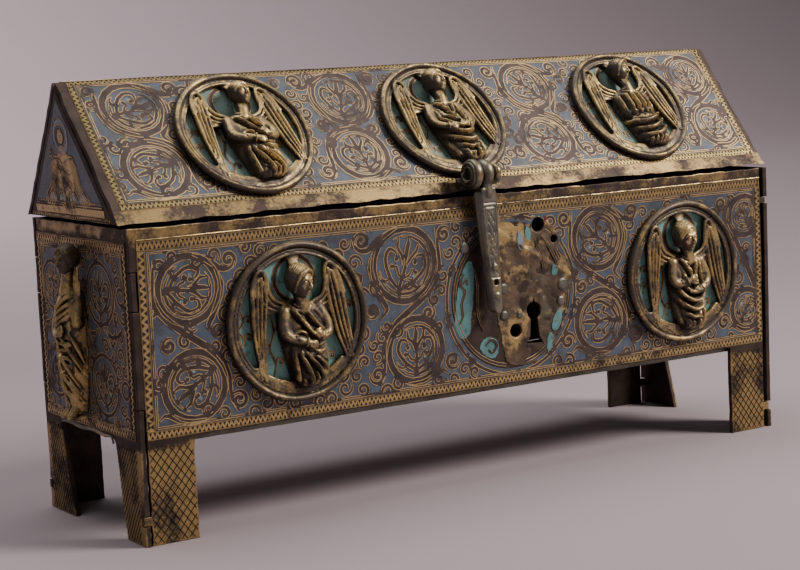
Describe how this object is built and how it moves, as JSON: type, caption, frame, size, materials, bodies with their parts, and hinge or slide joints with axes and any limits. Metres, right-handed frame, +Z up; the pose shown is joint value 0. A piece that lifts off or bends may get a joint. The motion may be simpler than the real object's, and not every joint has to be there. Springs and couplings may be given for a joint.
{
  "type": "reliquary casket",
  "caption": "House-shaped enamelled and gilt copper casket on plate legs, with a hinged gabled lid, a hasp, openwork figure roundels and a standing figure.",
  "frame": {"origin": "middle of the object's outer box, on the surface that the four feet stand on", "axes": "+Z up; +X along the casket's length, towards the right end as seen from the front; -Y is the front, with the hasp and keyhole"},
  "size_m": [0.3236, 0.1054, 0.1705],
  "materials": {
    "enamelled_copper": "champleve enamel in grey blue and turquoise, with worn gilt borders and reserved scrolls",
    "gilt_copper": "worn mercury gilding over brown copper",
    "bare_copper": "dark patinated copper"
  },
  "bodies": {
    "casket": {"front_wall": "enamelled_copper", "back_wall": "enamelled_copper", "left_end_wall": "enamelled_copper", "right_end_wall": "enamelled_copper", "base_plate": "bare_copper", "roundel_front_left": "gilt_copper", "roundel_front_right": "gilt_copper", "end_figure": "gilt_copper", "hinge_left_wall_leaf": "gilt_copper", "hinge_right_wall_leaf": "gilt_copper", "hinge_left_pin": "bare_copper", "hinge_right_pin": "bare_copper"},
    "lid": {"roof_front": "enamelled_copper", "roof_back": "enamelled_copper", "gable_left": "enamelled_copper", "gable_right": "enamelled_copper", "roundel_roof_left": "gilt_copper", "roundel_roof_middle": "gilt_copper", "roundel_roof_right": "gilt_copper", "hasp_lug": "bare_copper", "hasp_pin": "bare_copper", "hinge_left_lid_leaf": "gilt_copper", "hinge_right_lid_leaf": "gilt_copper"},
    "hasp": {"hasp": "bare_copper"}
  },
  "joints": [
    {"name": "lid_hinge", "type": "hinge", "parent": "casket", "child": "lid", "pos_m": [0.00426, 0.05008, 0.1187], "axis": [-1, 0, 0], "range_deg": [0, 110]},
    {"name": "hasp_hinge", "type": "hinge", "parent": "lid", "child": "hasp", "pos_m": [0.00376, -0.04492, 0.1259], "axis": [-1, 0, 0], "range_deg": [0, 100]}
  ]
}
